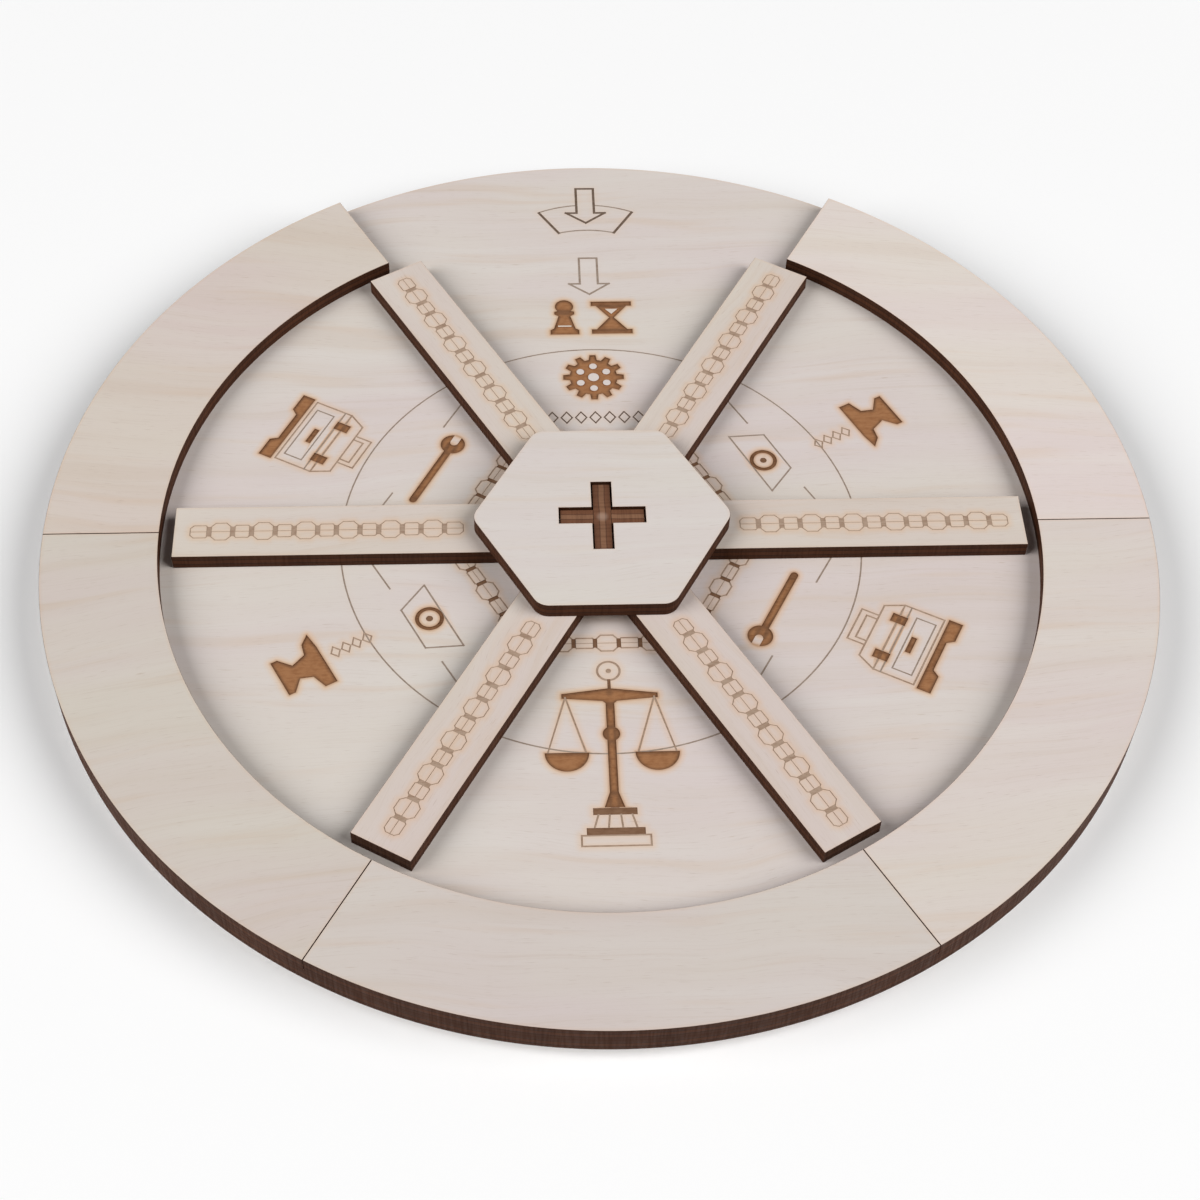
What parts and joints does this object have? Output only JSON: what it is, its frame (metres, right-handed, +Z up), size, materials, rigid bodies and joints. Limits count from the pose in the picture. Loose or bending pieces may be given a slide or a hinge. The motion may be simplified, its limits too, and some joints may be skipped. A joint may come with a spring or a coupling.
{
  "type": "game board with a turning spoked wheel",
  "caption": "Round layered plywood game board with a raised rim in segments, open at one place, and a spoked wheel that turns over the playing surface on a cross-shaped axle.",
  "frame": {"origin": "middle of the flat underside", "axes": "+Z up along the wheel's axis, +Y towards the open place of the rim"},
  "size_m": [0.256, 0.256, 0.016],
  "materials": {
    "pale_plywood": "bare pale birch plywood, laser-cut edges burnt dark brown, light brown engraving",
    "axle_plywood": "end edges of plywood plates, burnt brown with lighter plies"
  },
  "bodies": {
    "board": {"ground_disc": "pale_plywood", "base_disc": "pale_plywood", "rim_segment_1": "pale_plywood", "rim_segment_2": "pale_plywood", "rim_segment_3": "pale_plywood", "rim_segment_4": "pale_plywood", "rim_segment_5": "pale_plywood"},
    "wheel": {"hub_cap": "pale_plywood", "hub_core": "pale_plywood", "pivot_disc": "pale_plywood", "keeper_disc": "pale_plywood", "axle_plate_across": "axle_plywood", "axle_plate_along": "axle_plywood", "spoke_1": "pale_plywood", "spoke_2": "pale_plywood", "spoke_3": "pale_plywood", "spoke_4": "pale_plywood", "spoke_5": "pale_plywood", "spoke_6": "pale_plywood"}
  },
  "joints": [
    {"name": "wheel_turn", "type": "hinge", "parent": "board", "child": "wheel", "pos_m": [0, 0, 0.008], "axis": [0, 0, 1], "continuous": true}
  ]
}
